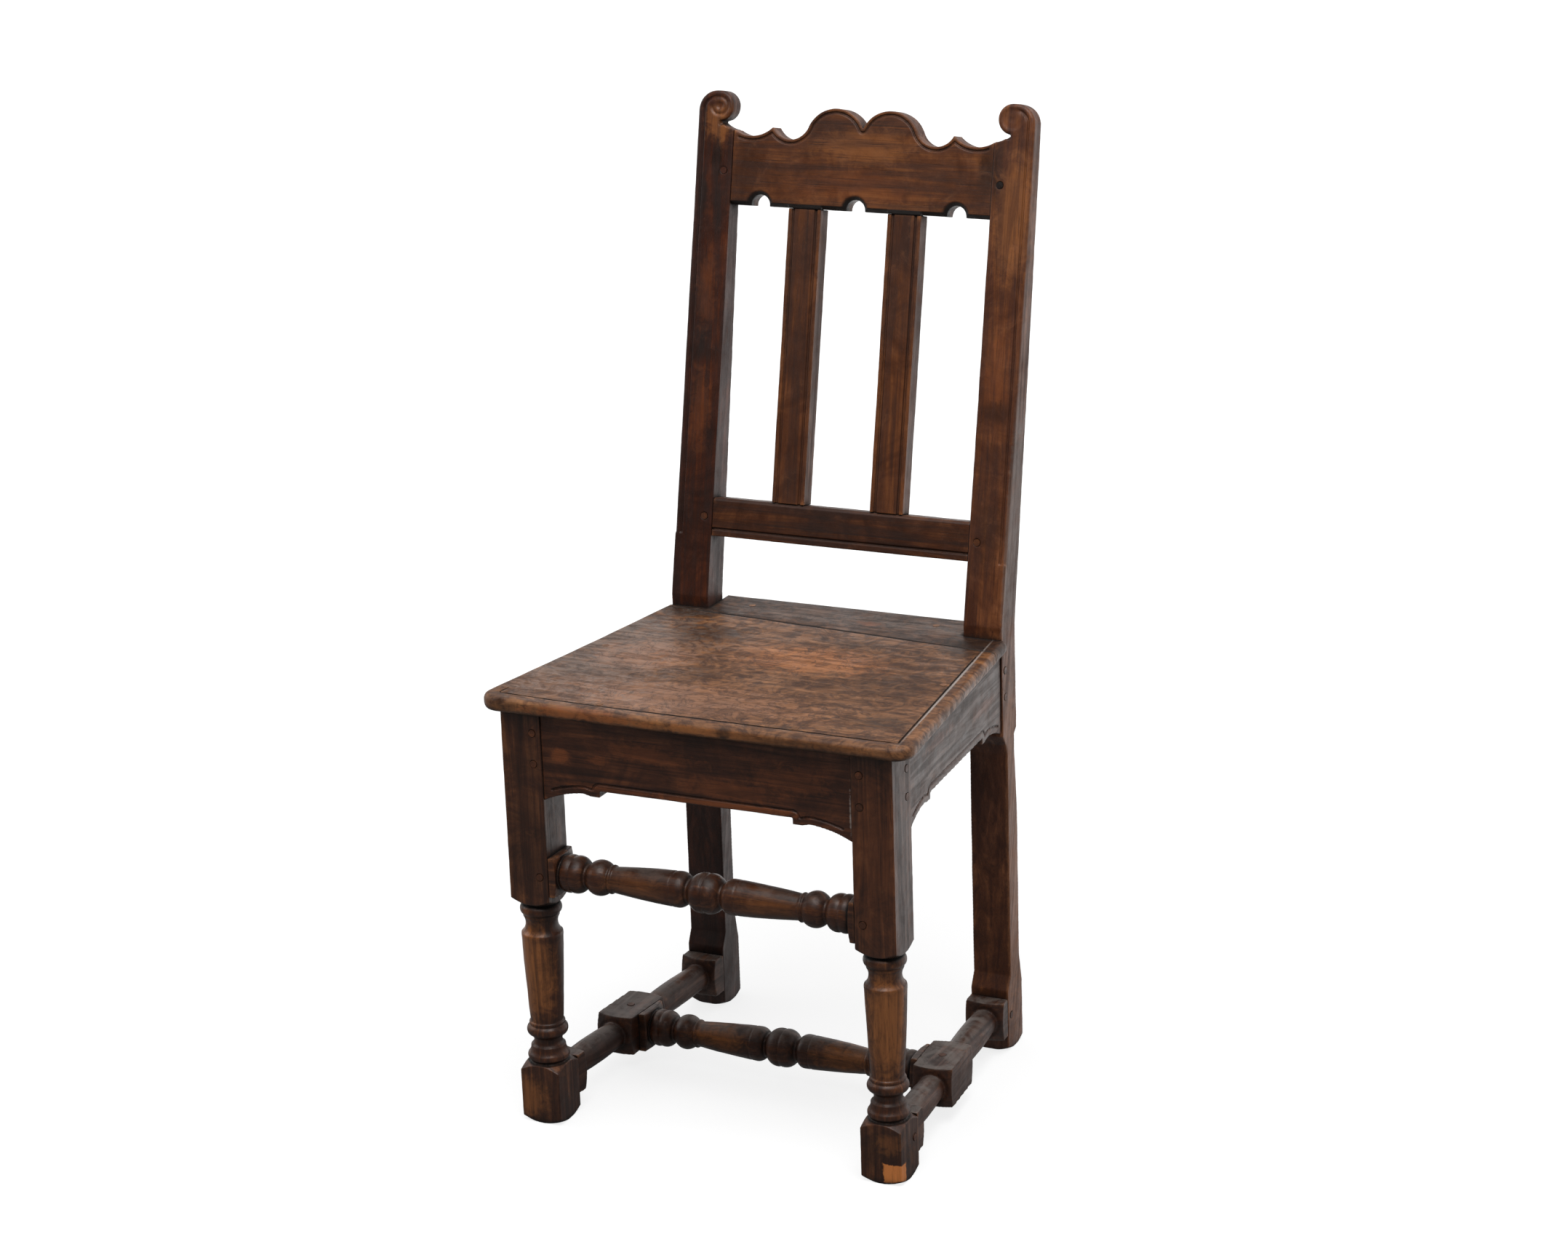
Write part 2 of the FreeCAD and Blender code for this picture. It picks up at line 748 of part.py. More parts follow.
def crest_line(outline):
    """A line that follows the crest's shaped upper edge, a little inside it."""
    upper = outline.makeOffset2D(-crest_line_inset)
    lower = outline.makeOffset2D(-crest_line_inset - groove_width)
    reach = post_inner - crest_line_inset - groove_width
    middle = post_bend + (crest_bottom + crest_valley) / 2
    band = upper.cut(lower).common(box(-reach, reach, post_front - overrun, post_front + overrun,
                                       middle, post_bend + post_rake_length))
    return band.extrude(V(0, groove_depth, 0))


def crest_edge(start, end):
    """What is cut from the crest over one opening: a bevelled lower edge and a bevelled arch."""
    bevel = crest_edge_bevel
    place = up((start + end) / 2, crest_bottom + crest_arch_lift)
    reach = V(0, overrun, 0)
    arch = Part.makeCylinder(crest_arch_radius, crest_thickness + overrun * 2, place - reach, V(0, 1, 0))
    mouth = Part.makeCone(crest_arch_radius + bevel, crest_arch_radius, bevel, place, V(0, 1, 0))
    strip = prism([
        up(start, crest_bottom),
        up(start, crest_bottom, bevel),
        up(start, crest_bottom + bevel)], V(end - start, 0, 0))
    opening = arch.fuse([mouth, strip])
    return opening.common(box(start, end, post_front - overrun, post_front + crest_thickness + overrun,
                              post_bend, post_bend + post_rake_length))


def crest_tenon(extra):
    middle = crest_thickness / 2
    half = tenon_thickness / 2 + extra
    end = post_inner + tenon_length + extra
    top = crest_valley - tenon_shoulder
    ends = box(-end, end, post_front + middle - half, post_front + middle + half,
               post_bend + crest_bottom + tenon_shoulder - extra, post_bend + top + extra)
    span = post_inner - overrun
    return ends.cut(box(-span, span, post_front - overrun, post_front + crest_thickness + overrun,
                        post_bend, post_bend + post_rake_length))


def muntin_tenon(place, extra):
    middle = face_setback + crest_thickness / 2
    half = tenon_thickness / 2 + extra
    reach = tenon_length / 2 + extra
    side = muntin_width / 2 - tenon_shoulder / 2 + extra
    top = lower_rail_bottom + lower_rail_height
    return box(place - side, place + side, post_front + middle - half, post_front + middle + half,
               post_bend + top - reach, post_bend + crest_bottom + reach)


def muntin(place):
    half = muntin_width / 2
    front = face_setback * 2
    top = lower_rail_bottom + lower_rail_height
    slat = box(place - half, place + half, post_front + front, post_front + front + muntin_thickness,
               post_bend + top, post_bend + crest_bottom)
    for side in (-1, 1):
        edge = place + side * (half - muntin_groove_inset)
        slat = slat.cut(box(edge - muntin_groove_width / 2, edge + muntin_groove_width / 2,
                            post_front, post_front + front + groove_depth,
                            post_bend, post_bend + post_rake_length))
    return slat.fuse(muntin_tenon(place, 0)).removeSplitter()


def lower_tenon(extra):
    middle = lower_rail_thickness / 2
    half = tenon_thickness / 2 + extra
    end = post_inner + tenon_length + extra
    low = lower_rail_bottom + tenon_shoulder
    top = lower_rail_bottom + lower_rail_height - tenon_shoulder
    return box(-end, end, post_front + middle - half, post_front + middle + half,
               post_bend + low - extra, post_bend + top + extra)


def lower_rail():
    front = face_setback
    low = lower_rail_bottom
    top = low + lower_rail_height
    points = [
        up(-post_inner, low, front),
        up(-post_inner, top - lower_rail_chamfer, front),
        up(-post_inner, top, front + lower_rail_chamfer),
        up(-post_inner, top, front + lower_rail_thickness),
        up(-post_inner, low, front + lower_rail_thickness),
    ]
    rail = prism(points, V(post_inner * 2, 0, 0))
    line_low = post_bend + low + lower_rail_line
    rail = rail.cut(box(-front_width, front_width, post_front - overrun, post_front + front + groove_depth,
                        line_low, line_low + groove_width))
    for place in muntin_places():
        rail = rail.cut(muntin_tenon(place, joint_clearance))
    return rail.fuse(lower_tenon(0)).removeSplitter()


def peg(start, direction, length=peg_length):
    """A peg that stands a little proud of the face where it was driven in."""
    unit = V(direction)
    unit.normalize()
    return Part.makeCylinder(peg_radius, length + peg_proud, start - unit * peg_proud, unit)


def pegs_of(places, direction):
    return [peg(place, direction) for place in places]


def both_sides(pegs):
    return pegs + [mirrored(one) for one in pegs]


def crest_pegs():
    middle = post_inner + tenon_length / 2
    place = up(middle, (crest_bottom + crest_valley) / 2)
    length = post_top_depth - peg_radius / 2
    return both_sides([raked(peg(place, V(0, 1, 0), length))])


def lower_rail_pegs():
    middle = post_inner + tenon_length / 2
    place = up(middle, lower_rail_bottom + lower_rail_height / 2)
    return both_sides([raked(peg(place, V(0, 1, 0)))])


def front_rail_pegs():
    middle = leg_inner + tenon_length / 2
    heights = [rail_bottom + rail_height * share for share in front_peg_shares]
    return both_sides(pegs_of([V(middle, 0, z) for z in heights], V(0, 1, 0)))


def side_rail_pegs():
    heights = [rail_bottom + rail_height * share for share in side_peg_shares]
    front = [V(front_width / 2, leg_stock - tenon_length / 2, z) for z in heights]
    rear = [V(post_outer, post_front + tenon_length / 2, z) for z in heights]
    return both_sides(pegs_of(front + rear, V(-1, 0, 0)))


def back_rail_pegs():
    middle = post_inner + tenon_length / 2
    place = V(middle, post_front + post_seat_depth, (back_rail_bottom + seat_rail_top) / 2)
    return both_sides([peg(place, V(0, -1, 0), post_seat_depth - tenon_length)])


def front_stretcher_pegs():
    place = V(leg_inner + tenon_length / 2, 0, front_stretcher_height)
    return both_sides([peg(place, V(0, 1, 0), leg_stock * stretcher_peg_share)])


def side_stretcher_pegs():
    front = V(front_width / 2, leg_stock - tenon_length / 2, low_stretcher_height)
    rear = V(post_outer, post_foot_front + tenon_length / 2, low_stretcher_height)
    return both_sides(pegs_of([front, rear], V(-1, 0, 0)))


def cross_stretcher_pegs():
    place = V(cross_end, cross_stretcher_place, low_stretcher_height + stretcher_stock / 2)
    return both_sides([peg(place, V(0, 0, -1))])


def seat_pegs():
    front = [V(front_width / 4, rail_setback + rail_thickness / 2, seat_top)]
    share = (cross_stretcher_place - leg_stock) / (post_front - leg_stock)
    side_x = side_rail_front_x + (side_rail_rear_x - side_rail_front_x) * share
    side = [V(side_x, cross_stretcher_place, seat_top)]
    back_y = post_front + post_seat_depth - rail_setback - rail_thickness / 2
    back = [V(front_width / 4, back_y, seat_top)]
    return both_sides(pegs_of(front + side + back, V(0, 0, -1)))


def without(shape, holes):
    for hole in holes:
        if shape.BoundBox.intersect(hole.BoundBox):
            shape = shape.cut(hole)
    return shape


def build():
    peg_groups = {
        "crest_pegs": crest_pegs(),
        "lower_back_rail_pegs": lower_rail_pegs(),
        "front_seat_rail_pegs": front_rail_pegs(),
        "side_seat_rail_pegs": side_rail_pegs(),
        "back_seat_rail_pegs": back_rail_pegs(),
        "front_stretcher_pegs": front_stretcher_pegs(),
        "side_stretcher_pegs": side_stretcher_pegs(),
        "cross_stretcher_pegs": cross_stretcher_pegs(),
        "seat_pegs": seat_pegs(),
    }
    holes = []
    for group in peg_groups.values():
        holes += group

    c = joint_clearance
    front_bar = turned_stretcher(leg_inner, stretcher_stock)
    front_bar = front_bar.translated(V(0, leg_y, front_stretcher_height))
    front_bar = front_bar.common(box(-leg_inner, leg_inner, 0, leg_stock, 0, seat_rail_top))
    reach = leg_inner + tenon_length
    front_bar_tenon = Part.makeCylinder(
        round_tenon_radius, reach * 2, V(-reach, leg_y, front_stretcher_height), V(1, 0, 0))
    front_bar_bore = Part.makeCylinder(
        round_tenon_radius + c, (reach + c) * 2, V(-reach - c, leg_y, front_stretcher_height), V(1, 0, 0))

    side_bar = side_stretcher()
    cross_reach = cross_end - peg_radius * 2
    cross_tenon = Part.makeCylinder(
        round_tenon_radius, cross_reach * 2, V(-cross_reach, cross_stretcher_place, low_stretcher_height),
        V(1, 0, 0))
    cross_bore = Part.makeCylinder(
        round_tenon_radius + c, (cross_reach + c) * 2,
        V(-cross_reach - c, cross_stretcher_place, low_stretcher_height), V(1, 0, 0))
    cross_bar = turned_stretcher(cross_end - stretcher_stock / 2, stretcher_stock)
    cross_bar = cross_bar.translated(V(0, cross_stretcher_place, low_stretcher_height))
    cross_bar = cross_bar.cut(side_bar).cut(mirrored(side_bar)).fuse(cross_tenon).removeSplitter()
    side_bar = side_bar.fuse(low_tenon(round_tenon_radius, 0)).removeSplitter().cut(cross_bore)

    leg = front_leg()
    for mortise in (front_tenon(c), side_tenon(c), front_bar_bore, low_tenon(round_tenon_radius + c, c)):
        leg = leg.cut(mortise)
    post = rear_post()
    crest_mortise = raked(crest_tenon(c).translated(V(0, face_setback, 0)))
    lower_mortise = raked(lower_tenon(c))
    for mortise in (side_tenon(c), back_tenon(c), crest_mortise, lower_mortise,
                    low_tenon(round_tenon_radius + c, c)):
        post = post.cut(mortise)

    rail = side_rail()
    left, right = muntin_places()
    pieces = {
        "front_leg_right": leg,
        "front_leg_left": mirrored(leg),
        "rear_post_right": post,
        "rear_post_left": mirrored(post),
        "front_seat_rail": front_rail(),
        "side_seat_rail_right": rail,
        "side_seat_rail_left": mirrored(rail),
        "back_seat_rail": back_rail(),
        "seat_board_front": seat_board(True),
        "seat_board_back": seat_board(False),
        "crest_rail": raked(crest_rail()),
        "lower_back_rail": raked(lower_rail()),
        "muntin_left": raked(muntin(left)),
        "muntin_right": raked(muntin(right)),
        "front_stretcher": front_bar.fuse(front_bar_tenon).removeSplitter(),
        "side_stretcher_right": side_bar,
        "side_stretcher_left": mirrored(side_bar),
        "cross_stretcher": cross_bar,
    }
    for name in pieces:
        pieces[name] = without(pieces[name], holes)
    for name, group in peg_groups.items():
        pieces[name] = Part.makeCompound(group)
    return pieces


os.makedirs("parts", exist_ok=True)
for name, shape in build().items():
    placed = shape.translated(V(0, -whole_middle, 0))
    if not placed.isValid():
        print("not valid:", name)
    placed.exportStep("parts/" + name + ".step")
    bounds = placed.BoundBox
    print(name, len(placed.Solids), "solids", round(placed.Volume / 1000.0, 1), "cm3",
          [round(v, 1) for v in (bounds.XMin, bounds.XMax, bounds.YMin, bounds.YMax, bounds.ZMin, bounds.ZMax)])
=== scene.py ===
import math
from collections import namedtuple

import bmesh
import bpy
from mathutils import Matrix, Vector


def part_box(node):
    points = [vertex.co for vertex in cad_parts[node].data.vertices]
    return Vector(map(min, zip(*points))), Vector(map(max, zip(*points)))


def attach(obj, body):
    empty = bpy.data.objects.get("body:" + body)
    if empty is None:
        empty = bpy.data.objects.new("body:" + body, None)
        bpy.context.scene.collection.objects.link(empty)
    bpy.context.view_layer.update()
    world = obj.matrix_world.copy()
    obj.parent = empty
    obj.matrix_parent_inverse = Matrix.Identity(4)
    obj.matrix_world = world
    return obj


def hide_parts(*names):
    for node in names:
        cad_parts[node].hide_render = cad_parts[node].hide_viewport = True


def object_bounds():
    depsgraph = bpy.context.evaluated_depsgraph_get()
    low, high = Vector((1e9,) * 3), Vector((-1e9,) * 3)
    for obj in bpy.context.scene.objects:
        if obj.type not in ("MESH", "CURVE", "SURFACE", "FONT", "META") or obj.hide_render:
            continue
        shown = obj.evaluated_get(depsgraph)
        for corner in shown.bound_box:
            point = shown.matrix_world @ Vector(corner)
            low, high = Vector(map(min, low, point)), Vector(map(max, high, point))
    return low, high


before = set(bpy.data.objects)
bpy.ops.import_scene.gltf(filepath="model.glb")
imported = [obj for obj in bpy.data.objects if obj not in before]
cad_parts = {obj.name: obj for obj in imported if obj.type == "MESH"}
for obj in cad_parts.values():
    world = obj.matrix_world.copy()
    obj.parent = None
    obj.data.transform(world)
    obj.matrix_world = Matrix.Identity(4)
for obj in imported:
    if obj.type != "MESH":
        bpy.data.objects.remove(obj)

CAD_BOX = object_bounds()
MM = 0.001
RAKE = math.radians(12.1)
SEAT_TOP = 0.482

# The seam of the seat's two boards: its ends in plan, and how wide and deep its arrises are worn
SEAM_ENDS = ((-0.2225, 0.1080), (0.2225, 0.0700))
SEAM_WORN = 2.0 * MM
SEAM_DROP = 1.4 * MM

# The seat's raised left front corner: where it begins in x and y, over what length it rises, and
# how far. The boards are cut into cells that can follow it, and their crisp edges stay crisp.
CORNER_START = (-0.09, -0.02)
CORNER_REACH = (0.15, 0.20)
CORNER_RAISE = 2.4 * MM
BOARD_CELL = 9.0 * MM
CRISP_ANGLE = math.radians(38)

# Wear of the frame and of the boards: depth in mm of slow waves and of small dents. Its level lies
# over the middle of the clouds, so that more wood is taken away than is added.
FRAME_WEAR = (0.7, 0.35)
BOARD_WEAR = (0.5, 0.3)
WORN_LEVEL = 0.56

# An ear's eye, in from the post's outer side and down from its top, how far round it and how deep
# the carving is rubbed, and each ear's side and number of rubs
EAR_EYE = (26.0 * MM, 16.5 * MM)
EAR_WORN = 12.5 * MM
EAR_DEPTH = 5.0 * MM
EAR_RUBS = {"rear_post_left_worn": (-1, 8), "rear_post_right_worn": (1, 70)}

# Camera, fitted to the edges of the chair
CAMERA_PLACE = Vector((1.6226, -3.3618, 1.6886))
CAMERA_TURN = math.radians(25.85)
CAMERA_TILT = math.radians(-17.53)
CAMERA_ROLL = math.radians(-1.91)
FOCAL_PIXELS = 5041.6
IMAGE_WIDTH = 2156
SENSOR_WIDTH = 36.0

# Wood colours: deep, middle and worn
BACK_WOOD = ((0.042, 0.0120, 0.0040), (0.112, 0.0350, 0.0118), (0.270, 0.100, 0.032))
LEFT_POST_WOOD = ((0.018, 0.0046, 0.0018), (0.056, 0.0130, 0.0047), (0.160, 0.043, 0.0135))
RIGHT_POST_WOOD = ((0.050, 0.0130, 0.0048), (0.135, 0.0430, 0.0150), (0.330, 0.122, 0.044))
LOWER_RAIL_WOOD = ((0.022, 0.0066, 0.0026), (0.066, 0.0200, 0.0072), (0.190, 0.068, 0.024))
RAIL_WOOD = ((0.022, 0.0068, 0.0030), (0.076, 0.0225, 0.0088), (0.215, 0.072, 0.024))
LEG_WOOD = ((0.020, 0.0064, 0.0032), (0.074, 0.0235, 0.0095), (0.250, 0.096, 0.034))
SEAT_WOOD = ((0.062, 0.023, 0.009), (0.190, 0.080, 0.031), (0.370, 0.165, 0.064))
BACK_BOARD_WOOD = ((0.032, 0.0125, 0.006), (0.096, 0.040, 0.0175), (0.200, 0.088, 0.038))
# A soot colour: real soot, stains and dark end grain, and also the colour of painted shade
SOOT_AND_SHADE = (0.0060, 0.0036, 0.0026)
# A dust colour: real dust on tops, and also the colour of painted sheen on the seat and on right-facing
# sides
DUST_AND_SHEEN = (0.150, 0.125, 0.110)
BARE_WOOD = (0.68, 0.230, 0.060)
RUST = (0.235, 0.066, 0.018)
PALE = (0.380, 0.330, 0.300)
AMBER = (0.310, 0.112, 0.032)

# Local marks on the wood, among them painted shade, light, highlights and sheen: centre and radii in
# metres, a turn in radians. A strength far over 1 gives a mark with a sharp edge. The grooves' marks are
# painted shade in the seat's right groove and a painted highlight on its outer wall.
Mark = namedtuple("Mark", "centre radii colour strength raggedness square turn", defaults=(False, 0.0))
# Where the seat's right groove gets its painted shade, and beside it the painted highlight on the groove's
# outer wall
RIGHT_GROOVE = (0.2072, -0.060, SEAT_TOP)
RIGHT_GROOVE_HIGHLIGHT = (0.2090, -0.060, SEAT_TOP)
RIGHT_GROOVE_TURN = 0.116
SEAM_TURN = -0.0852
SEAT_MARKS = [
    Mark((-0.160, 0.100, SEAT_TOP), (0.055, 0.034, 0.02), SOOT_AND_SHADE, 0.90, 0.45),
    Mark((-0.105, 0.030, SEAT_TOP), (0.055, 0.034, 0.02), SOOT_AND_SHADE, 0.70, 0.55),
    Mark((-0.199, 0.022, SEAT_TOP), (0.014, 0.022, 0.02), SOOT_AND_SHADE, 0.60, 0.50),
    Mark((-0.157, -0.196, SEAT_TOP), (0.010, 0.024, 0.02), SOOT_AND_SHADE, 0.65, 0.40, turn=0.4),
    Mark((0.150, -0.050, SEAT_TOP), (0.075, 0.045, 0.02), SOOT_AND_SHADE, 0.40, 0.60),
    Mark((0.175, 0.075, SEAT_TOP), (0.040, 0.050, 0.02), SOOT_AND_SHADE, 0.85, 0.45),
    Mark((0.190, -0.178, SEAT_TOP), (0.040, 0.026, 0.02), SOOT_AND_SHADE, 0.65, 0.55, turn=0.3),
    Mark((0.100, -0.226, SEAT_TOP), (0.020, 0.008, 0.02), SOOT_AND_SHADE, 0.60, 0.50),
    Mark((-0.065, -0.103, SEAT_TOP), (0.060, 0.040, 0.02), SOOT_AND_SHADE, 0.30, 0.85),
    Mark((0.060, 0.050, SEAT_TOP), (0.060, 0.020, 0.02), SOOT_AND_SHADE, 0.40, 0.70),
    Mark((-0.206, -0.058, SEAT_TOP), (0.016, 0.0012, 0.02), SOOT_AND_SHADE, 0.80, 0.20, turn=0.1),
    Mark((-0.192, -0.174, SEAT_TOP), (0.018, 0.0012, 0.02), SOOT_AND_SHADE, 0.80, 0.20, turn=-0.1),
    Mark((0.035, -0.020, SEAT_TOP), (0.110, 0.055, 0.02), BARE_WOOD, 0.28, 0.70),
    Mark((-0.140, -0.065, SEAT_TOP), (0.070, 0.060, 0.02), BARE_WOOD, 0.28, 0.80),
    Mark((-0.060, -0.180, SEAT_TOP), (0.200, 0.060, 0.02), BARE_WOOD, 0.22, 0.70),
    # Painted sheen, with some grey haze: grey patches on the seat's front, left and back
    Mark((-0.060, -0.180, SEAT_TOP), (0.180, 0.060, 0.02), DUST_AND_SHEEN, 0.35, 0.70),
    Mark((-0.190, -0.060, SEAT_TOP), (0.130, 0.190, 0.02), DUST_AND_SHEEN, 0.50, 1.00),
    Mark((0.030, 0.130, SEAT_TOP), (0.220, 0.030, 0.02), DUST_AND_SHEEN, 0.25, 0.60),
    Mark((0.039, 0.120, SEAT_TOP), (0.020, 0.010, 0.02), RUST, 0.50, 0.60),
    Mark((0.000, -0.252, 0.474), (0.260, 0.009, 0.009), AMBER, 0.80, 0.80),
    Mark((0.0415, -0.247, 0.476), (0.010, 0.008, 0.010), SOOT_AND_SHADE, 0.90, 0.40),
    Mark((-0.120, -0.247, 0.476), (0.090, 0.010, 0.009), RUST, 0.60, 0.80),
    Mark((0.120, -0.247, 0.474), (0.080, 0.010, 0.006), SOOT_AND_SHADE, 0.55, 0.80),
]
# Lines over the seat: painted shade and a painted highlight at its grooves, and the dark seam between its
# boards
SEAT_GROOVE_SHADING_AND_SEAM = [
    # Painted shade in the right groove and a painted highlight on its outer wall
    Mark(RIGHT_GROOVE, (0.0026, 0.200, 0.006), SOOT_AND_SHADE, 0.80, 0.15, turn=RIGHT_GROOVE_TURN),
    Mark(RIGHT_GROOVE_HIGHLIGHT, (0.0020, 0.200, 0.006), PALE, 0.80, 0.15, turn=RIGHT_GROOVE_TURN),
    # Painted shade in the seat's front groove
    Mark((-0.020, -0.2308, SEAT_TOP), (0.330, 0.0024, 0.006), SOOT_AND_SHADE, 0.85, 0.20),
    Mark((0.000, 0.0890, SEAT_TOP), (0.330, 0.0030, 0.006), SOOT_AND_SHADE, 0.90, 0.25, turn=SEAM_TURN),
]
FRONT_RAIL_MARKS = [
    Mark((-0.155, -0.236, 0.424), (0.014, 0.02, 0.010), RUST, 0.70, 0.60),
    Mark((-0.110, -0.236, 0.424), (0.016, 0.02, 0.006), RUST, 0.45, 0.60),
    Mark((-0.050, -0.236, 0.436), (0.060, 0.02, 0.012), RUST, 0.35, 0.75),
    Mark((0.040, -0.236, 0.410), (0.070, 0.02, 0.014), RUST, 0.30, 0.80),
    Mark((0.110, -0.236, 0.430), (0.060, 0.02, 0.020), RUST, 0.30, 0.80),
    Mark((0.040, -0.236, 0.394), (0.120, 0.02, 0.006), RUST, 0.75, 0.55),
    Mark((-0.100, -0.236, 0.394), (0.090, 0.02, 0.005), RUST, 0.40, 0.60),
    Mark((0.1752, -0.236, 0.402), (0.0014, 0.02, 0.034), PALE, 0.75, 1.10),
]
SIDE_RAIL_MARKS = [
    # Painted sheen: a grey patch over the rail's right-facing side
    Mark((0.205, -0.020, 0.430), (0.040, 0.260, 0.070), DUST_AND_SHEEN, 0.48, 0.50),
    Mark((0.215, -0.100, 0.440), (0.02, 0.060, 0.008), RUST, 0.45, 0.70),
    Mark((0.205, 0.060, 0.425), (0.03, 0.050, 0.010), RUST, 0.40, 0.70),
    Mark((0.215, -0.040, 0.415), (0.03, 0.080, 0.006), SOOT_AND_SHADE, 0.50, 0.70),
]
CREST_MARKS = [
    Mark((0.004, 0.220, 1.0112), (0.075, 0.03, 0.0012), SOOT_AND_SHADE, 0.85, 0.30),
    Mark((0.000, 0.205, 0.9450), (0.100, 0.05, 0.022), RUST, 0.25, 0.70),
    Mark((0.148, 0.210, 0.9700), (0.014, 0.05, 0.036), SOOT_AND_SHADE, 0.60, 0.50),
    Mark((0.000, 0.220, 0.9900), (0.080, 0.05, 0.025), AMBER, 0.35, 0.60),
    Mark((-0.140, 0.205, 0.9500), (0.030, 0.05, 0.050), SOOT_AND_SHADE, 0.35, 0.60),
    Mark((0.030, 0.205, 0.9250), (0.140, 0.05, 0.008), AMBER, 0.25, 0.70),
]
# Painted shade: a dark band along the crest's down-facing lower bevel, and round it at the muntins
CREST_BEVEL_SHADE = [
    Mark((0.000, 0.203, 0.9185), (0.500, 0.016, 0.0066), SOOT_AND_SHADE, 4.0, 0.03),
] + [
    Mark((place, 0.203, 0.9213), (0.0174, 0.016, 0.0174), SOOT_AND_SHADE, 4.0, 0.02)
    for place in (-0.1185, -0.0045, 0.1140)
]
LEFT_POST_MARKS = [
    Mark((-0.172, 0.205, 0.968), (0.009, 0.05, 0.036), SOOT_AND_SHADE, 0.85, 0.40),
    Mark((-0.187, 0.200, 0.930), (0.008, 0.05, 0.034), SOOT_AND_SHADE, 0.80, 0.40),
    Mark((-0.170, 0.205, 1.010), (0.026, 0.05, 0.034), AMBER, 0.60, 0.50),
    Mark((-0.176, 0.180, 0.830), (0.014, 0.08, 0.060), RUST, 0.25, 0.70),
    Mark((-0.176, 0.150, 0.700), (0.016, 0.08, 0.060), RUST, 0.35, 0.70),
    Mark((-0.176, 0.110, 0.590), (0.030, 0.08, 0.100), SOOT_AND_SHADE, 0.40, 0.50),
    Mark((-0.176, 0.150, 0.760), (0.030, 0.05, 0.014), SOOT_AND_SHADE, 0.60, 0.60),
]
RIGHT_POST_MARKS = [
    # Painted sheen and a lighter warm tone on the post's right-facing side
    Mark((0.1985, 0.150, 0.600), (0.004, 0.100, 0.160), DUST_AND_SHEEN, 0.45, 0.50),
    Mark((0.1985, 0.130, 0.230), (0.004, 0.080, 0.280), DUST_AND_SHEEN, 0.20, 0.50),
    Mark((0.1985, 0.130, 0.230), (0.004, 0.080, 0.280), AMBER, 0.55, 0.50),
    Mark((0.1600, 0.210, 0.975), (0.0100, 0.05, 0.046), SOOT_AND_SHADE, 0.85, 0.40),
    Mark((0.182, 0.190, 0.930), (0.030, 0.08, 0.090), AMBER, 0.60, 0.50),
    Mark((0.176, 0.150, 0.760), (0.020, 0.08, 0.070), RUST, 0.40, 0.60),
    Mark((0.176, 0.140, 0.720), (0.022, 0.08, 0.016), SOOT_AND_SHADE, 0.60, 0.60),
    Mark((0.176, 0.110, 0.600), (0.022, 0.06, 0.060), SOOT_AND_SHADE, 0.50, 0.60),
]
# Painted light: lighter amber patches on the stretchers' barrels
BARREL_PAINTED_LIGHT = [
    Mark((side * 0.075, place, height), (0.045, 0.05, 0.018), AMBER, strength, 0.60)
    for side in (-1, 1)
    for place, height, strength in ((-0.230, 0.285, 0.25), (-0.047, 0.045, 0.75))
]
# Lighter amber on the legs' columns and a foot: partly worn wood, partly a painted highlight
TURNED_WEAR_AND_HIGHLIGHT = [
    Mark((-0.210, -0.230, 0.175), (0.035, 0.025, 0.080), AMBER, 0.90, 0.45),
    Mark((0.210, -0.230, 0.175), (0.035, 0.025, 0.080), AMBER, 0.95, 0.45),
    Mark((-0.215, -0.236, 0.030), (0.030, 0.020, 0.030), AMBER, 0.70, 0.50),
]
RIGHT_LEG_MARKS = TURNED_WEAR_AND_HIGHLIGHT + [
    Mark((0.2000, -0.238, 0.3600), (0.050, 0.02, 0.110), RUST, 0.20, 0.60),
    Mark((0.2155, -0.238, 0.0125), (0.0130, 0.012, 0.0105), BARE_WOOD, 1.0, 0.22, square=True),
    Mark((0.1900, -0.238, 0.0350), (0.020, 0.02, 0.022), SOOT_AND_SHADE, 0.45, 0.60),
    Mark((0.2100, -0.238, 0.0450), (0.020, 0.02, 0.014), AMBER, 0.45, 0.60),
]


def finished(obj, node):
    """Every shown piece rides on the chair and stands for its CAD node."""
    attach(obj, "root")
    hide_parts(node)


